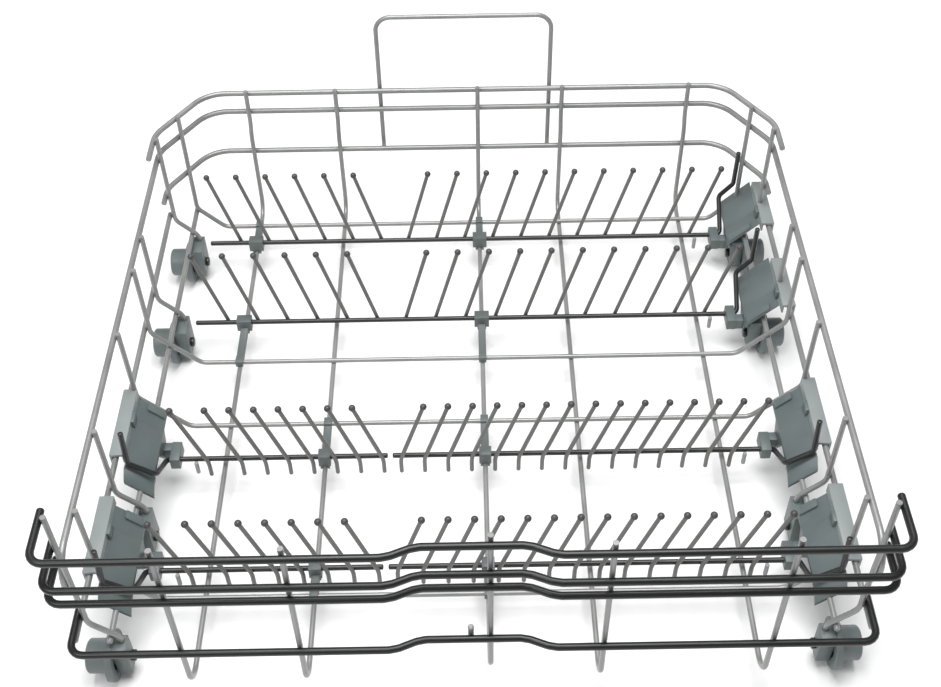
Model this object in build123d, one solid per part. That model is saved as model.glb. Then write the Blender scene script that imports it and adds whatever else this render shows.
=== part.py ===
from build123d import *
import math
import os

# Lower basket of a dishwasher: a coated wire frame with folding tine rows, hinge brackets and rollers.
# Millimetres. X runs to the right, Y to the rear and Z up. The rollers stand on Z = 0.
# The right side is described; the left side is its mirror image.

# Overall size, from the middle of the basket
half_width = 258.5
half_depth = 250.5
rail_inset = 4.0

# Wire diameters
front_rail_d = 5.0
rim_d = 4.6
side_rail_d = 4.6
middle_rail_d = 4.2
ledge_rail_d = 4.2
floor_wire_d = 3.8
cross_wire_d = 3.8
side_wire_d = 3.8
hoop_d = 3.8
peg_d = 4.0
bar_d = 4.0
tine_d = 3.2
ball_d = 5.2

# Heights
floor_z = 20.3
hinge_z = 28.5
kink_z = 59.0
side_rail_z = 122.5
rim_z = (141.0, 122.5, 84.0)
front_rail_z = (170.0, 141.0, 127.0, 68.0)
nub = 5.0

# Rear rims with bevelled corners, and the hoop behind them
rim_bevel_x = 219.0
rim_bevel_y = 189.0
rim_end_y = (157.0, 165.0, 170.0)
rim_bend = 16.0
rear_jog = 5.0
jog_top_z = 112.0
jog_drop = 8.0
hoop_half = 72.0
hoop_top_z = 210.0
hoop_foot_z = 77.0
hoop_bend = 10.0

# Front rails with a shallow recess, and the peg inside the lowest one
front_end_y = (-209.5, -211.0, -214.0, -214.0)
front_bend = 16.0
recess_half = 33.0
recess_ramp = 17.0
recess_depth = 7.0
peg_x = -1.5
peg_length = 16.0

# Floor and wall wires
floor_x = (-185.0, -109.5, 11.0, 82.6, 189.5)
floor_bend = 12.0
cross_y = (207.5, 42.0, -24.5, -179.5)
side_wire_y = (177.0, 79.5, -114.5)
corner_y = -219.0
wall_bend = 6.0
side_rail_bend = 16.0
side_rail_end_z = 100.0
middle_rail_ends = (-236.0, 181.0)
ledge_drop = 14.4
ledge_nub = 5.0

# Rollers, their holders and screws
roller_r = 17.7
roller_width = 19.0
flange_width = 4.5
drum_r = 11.75
drum_wall = 2.0
drum_chamfer = 1.2
cavity_depth = 16.0
hub_r = 6.0
axle_r = 3.0
axle_gap = 0.05
axle_length = 16.5
axle_end_gap = 0.5
roller_shift = 8.0
roller_gap = 0.3
holder_wall = 9.7
holder_half = 8.0
holder_rear = 4.5
holder_foot_z = 8.0
holder_top_z = 36.0
socket_in = 3.5
socket_foot_z = 22.5
socket_gap = 0.1
screw_r = 4.0
screw_head = 3.0

# Tine rows: two whole rows at the rear, two split rows at the front
rear_row_y = (180.5, 82.8)
rear_pitch = 24.7
rear_left_first = -74.7
rear_left_count = 6
rear_right_first = -52.2
rear_right_count = 11
rear_height = 70.6
rear_lean = 20.0
rear_tail = 3.0
front_row_y = (-60.5, -159.5)
front_pitch = 17.65
front_left_first = -65.2
front_left_count = 7
front_left_outer = -196.0
front_right_first = -52.2
front_right_count = 15
front_height = 59.2
front_lean = 19.0
front_tail = 15.0
ball_rise = 2.0
stop_length = 12.0
stop_inset = 10.0

# Tine bars with crank ends, given from the hinge line (to the rear, up)
bar_gap = 0.05
crank_room = 0.6
split_ends = (-62.0, -58.5)
rear_bar_in = 13.75
rear_crank_in = 16.75
rear_crank = (26.0, 22.0)
rear_arm_rise = 36.0
rear_tip_rise = 70.0
arm_room = 0.75
front_crank_in = 10.75
front_crank_reach = 8.0
front_knee_out = 3.25
front_knee = (-8.3, 2.5)
front_arm_out = 6.95
front_arm = (-8.0, 9.0)
front_tip = (-7.0, 37.0)

# Hinge brackets: a sloped panel on the ledge rail and a hood over the middle rail
panel_angle = 58.0
panel_wall = 2.0
rail_room = 0.15
hood_wall = 2.5
strip_gap = 0.15
strip_wall = 1.9
strip_foot_z = 50.0
bearing_drop = 5.5
bearing_rise = 5.0
bearing_front = 5.0
bearing_length = 10.0
riser_out = 4.45
rear_panel_y = (2.0, 23.0)
rear_panel_climb = 0.77
rear_hood_length = 8.0
rear_strip_y = (-12.0, 24.0)
rear_wall = 2.4
rear_rib_foot = 6.0
rear_rib_y = (-4.0, 12.0)
rear_bearing_rear = 10.0
front_panel_y = (-10.0, 4.0, 28.0)
front_panel_in = 3.75
front_panel_low = 13.75
front_hood_length = 8.0
front_strip_y = (-22.0, 28.0)
front_rib_out = 2.75
front_rib_y = (4.0, 11.0)
front_rib_z = (24.5, 36.0)

# Clip bearings that carry the bars on the floor wires
rear_clip_half = 6.0
front_clip_half = 4.5
clip_wall = 2.2
clip_spine_half = 3.0
clip_spine_rise = 3.6
clip_hook_wall = 1.6
clip_seat = 0.1
clip_leg = 3.0
clip_leg_wall = 1.6

# Wire sections: eight or six sides, equal in area to the round wire
wire_sides = 8
tine_sides = 6


def same_area(sides):
    """Corner radius of a regular section with the area of a unit circle."""
    return math.sqrt(2 * math.pi / (sides * math.sin(2 * math.pi / sides)))


def corner(d):
    """Half the distance across the corners of a wire."""
    return d / 2 * same_area(wire_sides)


def flat(d):
    """Half the distance across the flats of a wire."""
    return corner(d) * math.cos(math.pi / wire_sides)


def tine_corner(d):
    return d / 2 * same_area(tine_sides)


# Places that follow from the sizes above
side_rail_x = half_width - rail_inset
wall_x = side_rail_x - flat(side_rail_d) - flat(side_wire_d)
middle_rail_x = wall_x + flat(side_wire_d) + flat(middle_rail_d)
front_rail_x = wall_x + flat(side_wire_d) + flat(front_rail_d)
rim_x = wall_x + flat(side_wire_d) + flat(rim_d)
front_rail_y = flat(front_rail_d) - half_depth
front_wall_y = front_rail_y + flat(front_rail_d) + flat(floor_wire_d)
hoop_y = half_depth - flat(hoop_d)
rim_y = hoop_y - flat(hoop_d) - flat(rim_d)
rear_wall_y = rim_y - flat(rim_d) - flat(floor_wire_d)
floor_top = floor_z + flat(floor_wire_d)
cross_z = floor_top + flat(cross_wire_d)
slope_x = wall_x - kink_z
middle_rail_z = front_rail_z[3] - flat(front_rail_d) - flat(middle_rail_d)
grip = (flat(side_wire_d) + flat(ledge_rail_d)) * math.sqrt(0.5)
ledge_x = wall_x - ledge_drop + grip
ledge_z = kink_z - ledge_drop - grip
roller_x = half_width - roller_width
holder_x = roller_x - roller_gap - holder_wall
socket_x = holder_x + socket_in
hood_z = middle_rail_z + flat(middle_rail_d) + rail_room
strip_x = middle_rail_x + flat(middle_rail_d) + strip_gap
tine_offset = bar_d / 2 + tine_corner(tine_d) * math.cos(math.pi / tine_sides)
rear_crank_x = ledge_x - rear_crank_in
front_crank_x = ledge_x - front_crank_in


def bevel_x(y):
    """Where the bevel of the rear rims stands at a depth."""
    return rim_bevel_x + (rim_x - rim_bevel_x) * (rim_y - y) / (rim_y - rim_bevel_y)


bevel_cos = (rim_y - rim_bevel_y) / math.hypot(rim_y - rim_bevel_y, rim_x - rim_bevel_x)
rear_cross_x = bevel_x(cross_y[0]) - (flat(rim_d) + corner(cross_wire_d)) / bevel_cos
rear_arm_x = rear_cross_x - flat(cross_wire_d) - bar_d / 2 - arm_room


def bent(points, radius):
    """The path with each corner replaced by the chords of a bend."""
    path = [Vector(points[0])]
    for before, at, after in zip(points, points[1:], points[2:]):
        at = Vector(at)
        back = (Vector(before) - at).normalized()
        on = (Vector(after) - at).normalized()
        turn = math.radians(180 - back.get_angle(on))
        setback = radius * math.tan(turn / 2)
        centre = at + (back + on).normalized() * (radius / math.cos(turn / 2))
        start = at + back * setback - centre
        end = at + on * setback - centre
        chords = max(1, round(math.degrees(turn) / 45))
        for i in range(chords + 1):
            share = i / chords
            arm = start * math.sin((1 - share) * turn) + end * math.sin(share * turn)
            path.append(centre + arm * (1 / math.sin(turn)))
    path.append(Vector(points[-1]))
    return path


def section_plane(path):
    """Plane across the start of a path, square to the basket."""
    along = path[1] - path[0]
    across = (0, 1, 0) if abs(along.normalized().X) > 0.7 else (1, 0, 0)
    return Plane(origin=path[0], x_dir=across, z_dir=along)


def wire(points, d, radius):
    """Coated wire bent along a path."""
    path = bent(points, radius)
    section = section_plane(path) * RegularPolygon(corner(d), wire_sides, rotation=180 / wire_sides)
    return sweep(section, path=Polyline(*path), transition=Transition.RIGHT)


def rod(points, d):
    """Round rod with mitred corners, for what turns in a bearing."""
    path = [Vector(point) for point in points]
    return sweep(section_plane(path) * Circle(d / 2), path=Polyline(*path), transition=Transition.RIGHT)


def block(x, y, z):
    """Box between pairs of limits."""
    lengths = (x[1] - x[0], y[1] - y[0], z[1] - z[0])
    return Pos(x[0], y[0], z[0]) * Box(*lengths, align=(Align.MIN, Align.MIN, Align.MIN))


def round_bar(x, y, z, radius):
    """Cylinder along X between two limits."""
    lying = Rot(0, 90, 0) * Cylinder(radius, x[1] - x[0], align=(Align.CENTER, Align.CENTER, Align.MIN))
    return Pos(x[0], y, z) * lying


def both_sides(half):
    """A path and its mirror image, right end first."""
    return half + [(-x, other) for x, other in reversed(half)]


def mirrored(shape):
    return mirror(shape, about=Plane.YZ)


# Rims, rails, hoop and peg
def rear_rim(level):
    back = rim_y - (rear_jog if level == 2 else 0)
    half = [(rim_x, rim_end_y[level]), (rim_x, rim_bevel_y), (bevel_x(back), back)]
    return wire([(x, y, rim_z[level]) for x, y in both_sides(half)], rim_d, rim_bend)


def front_rail(level):
    half = [(front_rail_x, front_end_y[level]), (front_rail_x, front_rail_y)]
    half += [(recess_half + recess_ramp, front_rail_y), (recess_half, front_rail_y + recess_depth)]
    return wire([(x, y, front_rail_z[level]) for x, y in both_sides(half)], front_rail_d, front_bend)


def side_top_rail():
    path = [(side_rail_x, rim_end_y[1], side_rail_z), (side_rail_x, corner_y, side_rail_z)]
    path += [(side_rail_x, corner_y, side_rail_end_z)]
    return wire(path, side_rail_d, side_rail_bend)


def middle_rail():
    return wire([(middle_rail_x, y, middle_rail_z) for y in middle_rail_ends], middle_rail_d, wall_bend)


def ledge_rail():
    ends = (corner_y - ledge_nub, cross_y[0] + ledge_nub)
    return wire([(ledge_x, y, ledge_z) for y in ends], ledge_rail_d, wall_bend)


def rear_hoop():
    half = [(hoop_half, hoop_foot_z), (hoop_half, hoop_top_z)]
    return wire([(x, hoop_y, z) for x, z in both_sides(half)], hoop_d, hoop_bend)


def front_peg():
    y = front_rail_y + recess_depth + flat(front_rail_d) + flat(peg_d)
    ends = (front_rail_z[3] - peg_length / 2, front_rail_z[3] + peg_length / 2)
    return wire([(peg_x, y, z) for z in ends], peg_d, wall_bend)


# Floor, cross and side wires
def floor_wire(x):
    front = front_wall_y + (recess_depth if abs(x) < recess_half else 0)
    rear = rear_wall_y - rear_jog
    path = [(rear_wall_y, rim_z[0] + nub), (rear_wall_y, jog_top_z), (rear, jog_top_z - jog_drop)]
    path += [(rear, floor_z), (front, floor_z), (front, front_rail_z[0] + nub)]
    return wire([(x, y, z) for y, z in path], floor_wire_d, floor_bend)


def cross_wire(number):
    first = number == 0
    x = rear_cross_x if first else wall_x
    top = (rim_z[0] if first else side_rail_z) + nub
    half = [(x, top), (x, x - slope_x), (slope_x + cross_z, cross_z)]
    return wire([(px, cross_y[number], z) for px, z in both_sides(half)], cross_wire_d, wall_bend)


def side_wire(y, top):
    path = [(wall_x, top + nub), (wall_x, kink_z), (socket_x, socket_x - slope_x), (socket_x, socket_foot_z)]
    return wire([(x, y, z) for x, z in path], side_wire_d, wall_bend)


# Rollers: drum, flange and hub turned about X
def roller(y):
    bore = axle_r + axle_gap
    inner = drum_r - drum_wall
    depth = axle_length + axle_end_gap
    profile = [(depth, 0), (depth, bore), (0, bore), (0, hub_r), (cavity_depth, hub_r), (cavity_depth, inner)]
    profile += [(0, inner), (0, roller_r), (flange_width, roller_r), (flange_width, drum_r)]
    profile += [(roller_width - drum_chamfer, drum_r), (roller_width, drum_r - drum_chamfer), (roller_width, 0)]
    half = Plane.XZ * Polygon(*profile, align=None)
    return Pos(roller_x, y, roller_r) * revolve(half, axis=Axis.X)


def holder(wire_y, axle_y):
    """Moulded holder with its axle, pushed on to the end of a side wire."""
    depth = (axle_y - holder_half, max(wire_y + holder_rear, axle_y + holder_half))
    depth = (depth[0], min(depth[1], max(wire_y + holder_rear, axle_y + holder_rear)))
    body = block((holder_x, holder_x + holder_wall), depth, (holder_foot_z, holder_top_z))
    hole = RegularPolygon(corner(side_wire_d + 2 * socket_gap), wire_sides, rotation=180 / wire_sides)
    body -= Pos(socket_x, wire_y, socket_foot_z) * extrude(hole, holder_top_z - socket_foot_z)
    axle_ends = (holder_x + holder_wall, roller_x + axle_length)
    return body + round_bar(axle_ends, axle_y, roller_r, axle_r)


def axle_screw(axle_y):
    head = Plane(origin=(holder_x, axle_y, roller_r), x_dir=(0, 1, 0), z_dir=(-1, 0, 0))
    return extrude(head * RegularPolygon(screw_r, wire_sides), screw_head)


# Tines: ruled between level sections, with a ball tip
def level_section(x, y, z, radius):
    return Pos(x, y, hinge_z + z) * RegularPolygon(radius, tine_sides)


def tine(x, y, height, lean, tail):
    shaft = tine_corner(tine_d)
    ball = tine_corner(ball_d)
    neck = height - ball_rise
    stations = [(-tail, shaft)] + ([(0, shaft)] if tail > bar_d else [])
    stations += [(neck, shaft), (height, ball), (height + ball_rise, ball / 2)]
    return loft([level_section(x + lean * max(z, 0) / height, y, z, r) for z, r in stations], ruled=True)


def stop_pin(x, y):
    return extrude(level_section(x, y, -stop_length, tine_corner(tine_d)), stop_length)


def rear_tines(row_y):
    left = [rear_left_first - rear_pitch * i for i in range(rear_left_count)]
    right = [rear_right_first + rear_pitch * i for i in range(rear_right_count)]
    comb = [tine(x, row_y + tine_offset, rear_height, -rear_lean, rear_tail) for x in left]
    comb += [tine(x, row_y + tine_offset, rear_height, rear_lean, rear_tail) for x in right]
    stop_x = bearing_x(rear_crank_x)[0] - stop_inset
    return comb + [stop_pin(stop_x, row_y - tine_offset)]


def front_tines(row_y, side):
    if side < 0:
        bases = [front_left_first - front_pitch * i for i in range(front_left_count)] + [front_left_outer]
    else:
        bases = [front_right_first + front_pitch * i for i in range(front_right_count)]
    comb = [tine(x, row_y - tine_offset, front_height, side * front_lean, front_tail) for x in bases]
    stop_x = bearing_x(front_crank_x)[0] - stop_inset
    return comb + [stop_pin(side * stop_x, row_y - tine_offset)]


# Tine bars with crank ends
def rear_bar(row_y):
    back = row_y + rear_crank[0]
    path = [(rear_bar_in - ledge_x, row_y, hinge_z), (rear_crank_x, row_y, hinge_z)]
    path += [(rear_crank_x, back, hinge_z + rear_crank[1]), (rear_arm_x, back, hinge_z + rear_arm_rise)]
    path += [(rear_arm_x, back, hinge_z + rear_tip_rise)]
    return rod(path, bar_d)


def front_bar(row_y, side):
    inner = split_ends[0] if side < 0 else split_ends[1]
    path = [(inner, 0, 0), (side * front_crank_x, 0, 0), (side * front_crank_x, -front_crank_reach, 0)]
    path += [(side * (ledge_x + front_knee_out), *front_knee)]
    path += [(side * (ledge_x + front_arm_out), *front_arm), (side * (ledge_x + front_arm_out), *front_tip)]
    return rod([(x, row_y + y, hinge_z + z) for x, y, z in path], bar_d)


# Hinge brackets
def panel_z(x):
    """Underside of the sloped panel."""
    slope = math.radians(panel_angle)
    return ledge_z + (corner(ledge_rail_d) + rail_room) / math.cos(slope) + (x - ledge_x) * math.tan(slope)


def panel(x, y, climb):
    """Sloped plate that may climb to the rear."""
    thick = panel_wall / math.cos(math.radians(panel_angle))
    outline = [(x[0], panel_z(x[0])), (x[1], panel_z(x[1]))]
    outline += [(x[1], panel_z(x[1]) + thick), (x[0], panel_z(x[0]) + thick)]
    face = Plane.XZ.offset(-y[0]) * Polygon(*outline, align=None)
    length = y[1] - y[0]
    return extrude(face, amount=math.hypot(length, climb * length), dir=(0, 1, climb))


def bearing_x(crank_x):
    outer = crank_x - bar_d / 2 - crank_room
    return (outer - bearing_length, outer)


def bearing(crank_x, row_y, rear):
    y = (row_y - bearing_front, row_y + rear)
    return block(bearing_x(crank_x), y, (hinge_z - bearing_drop, hinge_z + bearing_rise))


def bar_bore(x, row_y):
    return round_bar((x[0] - 1, x[1] + 1), row_y, hinge_z, bar_d / 2 + bar_gap)


def hood(row_y, y, foot_z, strip_y):
    """Riser and hood over the middle rail, with the strip outside it."""
    riser = (ledge_x + riser_out - hood_wall, ledge_x + riser_out)
    outer = strip_x + strip_wall
    depth = (row_y + y[0], row_y + y[1])
    shape = block(riser, depth, (foot_z, hood_z + hood_wall))
    shape += block((riser[0], outer), depth, (hood_z, hood_z + hood_wall))
    strip = (row_y + strip_y[0], row_y + strip_y[1])
    return shape + block((strip_x, outer), strip, (strip_foot_z, hood_z + hood_wall))


def rear_bracket(row_y):
    inner = rear_crank_x + bar_d / 2 + crank_room
    top = ledge_x + riser_out
    depth = (row_y + rear_panel_y[0], row_y + rear_panel_y[1])
    length = depth[1] - depth[0]
    plate = panel((inner, top), depth, rear_panel_climb)
    hood_y = (rear_panel_y[1] - rear_hood_length, rear_panel_y[1])
    foot_z = panel_z(top) + rear_panel_climb * (length - rear_hood_length)
    body = plate + hood(row_y, hood_y, min(foot_z, hood_z - hood_wall), rear_strip_y)
    rib_foot = hinge_z - rear_rib_foot
    low = panel_z(inner + rear_wall)
    outline = [(depth[0], rib_foot), (row_y + rear_rib_y[1], rib_foot)]
    outline += [(depth[1], low + rear_panel_climb * length - panel_wall)]
    outline += [(depth[1], low + rear_panel_climb * length), (depth[0], low)]
    wall = Plane.YZ.offset(inner) * Polygon(*outline, align=None)
    body += extrude(wall, rear_wall)
    rib_y = (row_y + rear_rib_y[0], row_y + rear_rib_y[1])
    rib_top = hinge_z - bar_d / 2 - crank_room
    body += block((bearing_x(rear_crank_x)[0], inner + rear_wall), rib_y, (rib_foot, rib_top))
    body += bearing(rear_crank_x, row_y, rear_bearing_rear)
    return body - bar_bore(bearing_x(rear_crank_x), row_y)


def front_bracket(row_y):
    top = ledge_x + riser_out
    front, middle, rear = (row_y + y for y in front_panel_y)
    body = panel((ledge_x - front_panel_low, top), (middle, rear), 0)
    body += panel((ledge_x - front_panel_in, top), (front, middle), 0)
    hood_y = (front_panel_y[2] - front_hood_length, front_panel_y[2])
    body += hood(row_y, hood_y, panel_z(top), front_strip_y)
    rib_y = (row_y + front_rib_y[0], row_y + front_rib_y[1])
    outer = bearing_x(front_crank_x)[1]
    body += block((outer - bearing_length / 3, ledge_x - front_rib_out), rib_y, front_rib_z)
    body += bearing(front_crank_x, row_y, front_rib_y[1])
    return body - bar_bore(bearing_x(front_crank_x), row_y)


# Clip bearings: a ring on the bar, a spine along the floor wire and a hook over the cross wire
def clip(x, row_y, wire_y, half):
    reach = bar_d / 2 + bar_gap + clip_wall
    ahead = 1 if wire_y > row_y else -1
    slot = flat(cross_wire_d) + clip_seat
    near = wire_y - ahead * slot
    far = wire_y + ahead * slot
    hook_z = cross_z + flat(cross_wire_d) + clip_seat
    spine = (x - clip_spine_half, x + clip_spine_half)
    top = (floor_top, hook_z + clip_hook_wall)
    body = block((x - half, x + half), (row_y - reach, row_y + reach), (floor_top, hinge_z + reach))
    body += block(spine, sorted((row_y, near)), (floor_top, floor_top + clip_spine_rise))
    body += block(spine, sorted((near - ahead * clip_hook_wall, near)), top)
    body += block(spine, sorted((far, far + ahead * clip_hook_wall)), top)
    body += block(spine, sorted((near, far)), (hook_z, hook_z + clip_hook_wall))
    inside = flat(floor_wire_d) + clip_seat
    for side in (-1, 1):
        leg = sorted((x + side * inside, x + side * (inside + clip_leg_wall)))
        body += block(leg, (row_y - reach, row_y + reach), (floor_top - clip_leg, floor_top))
    return body - bar_bore((x - half, x + half), row_y)


def save(shapes, name):
    """Write one node: a single piece, or like pieces as separate solids."""
    solids = [solid for shape in shapes for solid in shape.solids()]
    export_step(solids[0] if len(solids) == 1 else Compound(children=solids), f"parts/{name}.step")


def save_pair(shapes, name):
    """Write a right-hand node and its mirror image on the left."""
    save(shapes, f"{name}_right")
    save([mirrored(shape) for shape in shapes], f"{name}_left")


def save_frame():
    for level, name in enumerate(("top", "middle", "lower")):
        save([rear_rim(level)], f"rear_rim_{name}")
    for level in range(len(front_rail_z)):
        save([front_rail(level)], f"front_rail_{level + 1}")
    save_pair([side_top_rail()], "side_top_rail")
    save_pair([middle_rail()], "side_middle_rail")
    save_pair([ledge_rail()], "ledge_rail")
    save([rear_hoop()], "rear_hoop")
    save([front_peg()], "front_peg")
    for number, x in enumerate(floor_x, 1):
        save([floor_wire(x)], f"floor_wire_{number}")
    for number in range(len(cross_y)):
        save([cross_wire(number)], f"cross_wire_{number + 1}")
    tops = [rim_z[0] if y > rim_end_y[1] else side_rail_z for y in side_wire_y]
    wires = [side_wire(y, top) for y, top in zip(side_wire_y, tops)]
    save_pair(wires + [side_wire(corner_y, front_rail_z[0])], "side_wires")


def save_rollers():
    wires = list(side_wire_y) + [corner_y]
    axles = [y - roller_shift for y in side_wire_y] + [corner_y]
    save_pair([holder(wire_y, axle_y) for wire_y, axle_y in zip(wires, axles)], "roller_holders")
    screws = [axle_screw(y) for y in axles]
    save(screws + [mirrored(screw) for screw in screws], "axle_screws")
    for number, y in enumerate(axles, 1):
        save_pair([roller(y)], f"roller_{number}")


def save_rows():
    for number, row_y in enumerate(rear_row_y, 1):
        save([rear_bar(row_y)], f"tine_bar_{number}")
        save(rear_tines(row_y), f"tines_{number}")
        save([rear_bracket(row_y)], f"hinge_bracket_{number}_right")
        clips = [clip(x, row_y, cross_y[number - 1], rear_clip_half) for x in (floor_x[0], floor_x[2])]
        save(clips, f"bar_clips_{number}")
    for number, row_y in enumerate(front_row_y, 3):
        for side, name in ((-1, "left"), (1, "right")):
            save([front_bar(row_y, side)], f"tine_bar_{number}_{name}")
            save(front_tines(row_y, side), f"tines_{number}_{name}")
        save_pair([front_bracket(row_y)], f"hinge_bracket_{number}")
        clips = [clip(x, row_y, cross_y[number - 1], front_clip_half) for x in floor_x[1:3]]
        save(clips, f"bar_clips_{number}")


os.makedirs("parts", exist_ok=True)
save_frame()
save_rollers()
save_rows()
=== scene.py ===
"""Dresses the lower dishwasher basket: coated wire, folding tine rows, moulded brackets and rollers."""
import math

import bmesh
import bpy
from bpy.props import FloatProperty, FloatVectorProperty, IntProperty, PointerProperty
from mathutils import Matrix, Vector
from mathutils.geometry import intersect_line_line


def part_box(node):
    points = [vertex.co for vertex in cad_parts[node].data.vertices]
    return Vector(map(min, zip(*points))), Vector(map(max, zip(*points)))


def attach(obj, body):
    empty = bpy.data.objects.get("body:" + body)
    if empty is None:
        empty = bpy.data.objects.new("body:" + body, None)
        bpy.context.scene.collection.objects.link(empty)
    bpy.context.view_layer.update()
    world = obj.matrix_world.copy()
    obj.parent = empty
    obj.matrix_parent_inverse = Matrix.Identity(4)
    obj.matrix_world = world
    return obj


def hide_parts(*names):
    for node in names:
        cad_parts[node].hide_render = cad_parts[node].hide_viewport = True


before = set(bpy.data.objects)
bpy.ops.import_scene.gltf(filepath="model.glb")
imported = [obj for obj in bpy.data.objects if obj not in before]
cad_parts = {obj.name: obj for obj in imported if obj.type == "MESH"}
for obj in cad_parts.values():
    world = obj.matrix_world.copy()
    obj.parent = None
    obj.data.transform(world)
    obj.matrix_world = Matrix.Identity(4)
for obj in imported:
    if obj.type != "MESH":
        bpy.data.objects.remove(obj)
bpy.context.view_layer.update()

bl_info = {
    "name": "Dishwasher basket",
    "version": (1, 0, 0),
    "blender": (4, 5, 0),
    "location": "View3D > Sidebar > Basket",
    "description": "Dresses a dishwasher basket in coated wire and moulded plastic",
    "category": "Add Mesh",
}

# Names of the frame's body and nodes
BODY = "basket"
SIDES = ("left", "right")
SIDE_NODES = ("side_top_rail", "side_middle_rail", "ledge_rail", "side_wires")
GREY_WIRES = (
    ["rear_rim_top", "rear_rim_middle", "rear_rim_lower", "rear_hoop", "front_peg"]
    + [f"{rail}_{side}" for rail in SIDE_NODES for side in SIDES]
    + [f"floor_wire_{i}" for i in range(1, 6)]
    + [f"cross_wire_{i}" for i in range(1, 5)]
)
FRONT_RAILS = [f"front_rail_{i}" for i in range(1, 5)]
REAR_BRACKETS = ["1_right", "2_right"]
FRONT_BRACKETS = [f"{row}_{side}" for row in (3, 4) for side in SIDES]
ROWS = ["1", "2"] + FRONT_BRACKETS
CLIP_ROWS = range(1, 5)
ROLLERS = [f"{place}_{side}" for place in range(1, 5) for side in SIDES]

# Tolerances for reading and shading meshes
MERGE = 1e-6
FLAT_ANGLE = math.radians(1)
SMOOTH_ANGLE = math.radians(40)
END_ANGLE = math.radians(60)
SIDE_CORNERS = 4

# Sides of the wire sections in the solids
FRAME_SIDES = 8
TINE_SIDES = 6

# Steps of round forms
EDGE_STEPS = 2
EDGE_PROFILE = 0.5
BORE_STEPS = 40
BALL_SEGMENTS = 20
BALL_RINGS = 12

# Finishes: patterns in cycles per metre and levels of detail, bumps in height and strength
NOISE_LOW = 0.3
NOISE_HIGH = 0.7
COAT_WEIGHT = 0.2
COAT_ROUGHNESS = 0.25
COAT_CLOUDS = (35, 4)
COAT_FILM = (420, 2)
COAT_MOTTLE = 0.12
COAT_SPREAD = (-0.07, 0.09)
COAT_BUMP = (0.0002, 0.35)
MOULD_FLOW = (24, 3)
MOULD_GRAIN = (1600, 2)
MOULD_MOTTLE = 0.09
MOULD_SPREAD = (-0.08, 0.08)
MOULD_BUMP = (0.00012, 0.4)

# Stage
WHITE = (1, 1, 1, 1)
SENSOR_WIDTH = 36


# Materials
class Finish:
    """A material in the making: a Principled surface with patterns on Object coordinates."""

    def __init__(self, name, colour, roughness):
        self.material = bpy.data.materials.new(name)
        self.material.use_nodes = True
        self.nodes = self.material.node_tree.nodes
        self.links = self.material.node_tree.links
        self.surface = self.nodes["Principled BSDF"].inputs
        self.colour = colour
        self.roughness = roughness
        self.surface["Base Color"].default_value = (*colour, 1)
        self.surface["Roughness"].default_value = roughness

    def noise(self, scale, detail):
        """A noise in the object's own space, in cycles per metre."""
        noise = self.nodes.new("ShaderNodeTexNoise")
        noise.inputs["Scale"].default_value = scale
        noise.inputs["Detail"].default_value = detail
        place = self.nodes.new("ShaderNodeTexCoord")
        self.links.new(place.outputs["Object"], noise.inputs["Vector"])
        return noise.outputs["Fac"]

    def spread(self, pattern, below, above):
        """Lets the roughness wander about its mean."""
        spread = self.nodes.new("ShaderNodeMapRange")
        spread.inputs["From Min"].default_value = NOISE_LOW
        spread.inputs["From Max"].default_value = NOISE_HIGH
        spread.inputs["To Min"].default_value = self.roughness + below
        spread.inputs["To Max"].default_value = self.roughness + above
        self.links.new(pattern, spread.inputs["Value"])
        self.links.new(spread.outputs["Result"], self.surface["Roughness"])

    def mottle(self, pattern, depth):
        """Lets the colour wander about its mean."""
        ramp = self.nodes.new("ShaderNodeValToRGB")
        ends = ramp.color_ramp.elements
        for end, position, shade in ((ends[0], NOISE_LOW, 1 - depth), (ends[1], NOISE_HIGH, 1 + depth)):
            end.position = position
            end.color = (*(min(1, c * shade) for c in self.colour), 1)
        self.links.new(pattern, ramp.inputs["Fac"])
        self.links.new(ramp.outputs["Color"], self.surface["Base Color"])

    def bump(self, pattern, height, strength):
        """Raises the surface by a pattern, to a height in metres."""
        bump = self.nodes.new("ShaderNodeBump")
        bump.inputs["Strength"].default_value = strength
        bump.inputs["Distance"].default_value = height
        self.links.new(pattern, bump.inputs["Height"])
        self.links.new(bump.outputs["Normal"], self.surface["Normal"])


def nylon_coat(name, colour, roughness, metallic=0):
    """Dip-coated nylon on wire: a soft sheen over a slightly uneven film."""
    finish = Finish(name, colour, roughness)
    finish.surface["Metallic"].default_value = metallic
    finish.surface["Coat Weight"].default_value = COAT_WEIGHT
    finish.surface["Coat Roughness"].default_value = COAT_ROUGHNESS
    clouds = finish.noise(*COAT_CLOUDS)
    finish.mottle(clouds, COAT_MOTTLE)
    finish.spread(clouds, *COAT_SPREAD)
    finish.bump(finish.noise(*COAT_FILM), *COAT_BUMP)
    return finish.material


def moulded_plastic(name, colour, roughness):
    """Moulded plastic with a fine spark-eroded grain and faint flow marks."""
    finish = Finish(name, colour, roughness)
    grain = finish.noise(*MOULD_GRAIN)
    finish.mottle(finish.noise(*MOULD_FLOW), MOULD_MOTTLE)
    finish.spread(grain, *MOULD_SPREAD)
    finish.bump(grain, *MOULD_BUMP)
    return finish.material


# Shapes read from the frame
def clean_copy(node):
    """The node's solids as a welded mesh with whole flat faces."""
    mesh = bmesh.new()
    mesh.from_mesh(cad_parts[node].data)
    bmesh.ops.remove_doubles(mesh, verts=mesh.verts, dist=MERGE)
    bmesh.ops.dissolve_limit(mesh, angle_limit=FLAT_ANGLE, verts=mesh.verts, edges=mesh.edges)
    mesh.verts.index_update()
    return mesh


def is_end(face):
    """Whether a face is the cut end of a wire."""
    sharp = all(edge.calc_face_angle(0) > END_ANGLE for edge in face.edges)
    return sharp and len(face.verts) > SIDE_CORNERS


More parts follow.
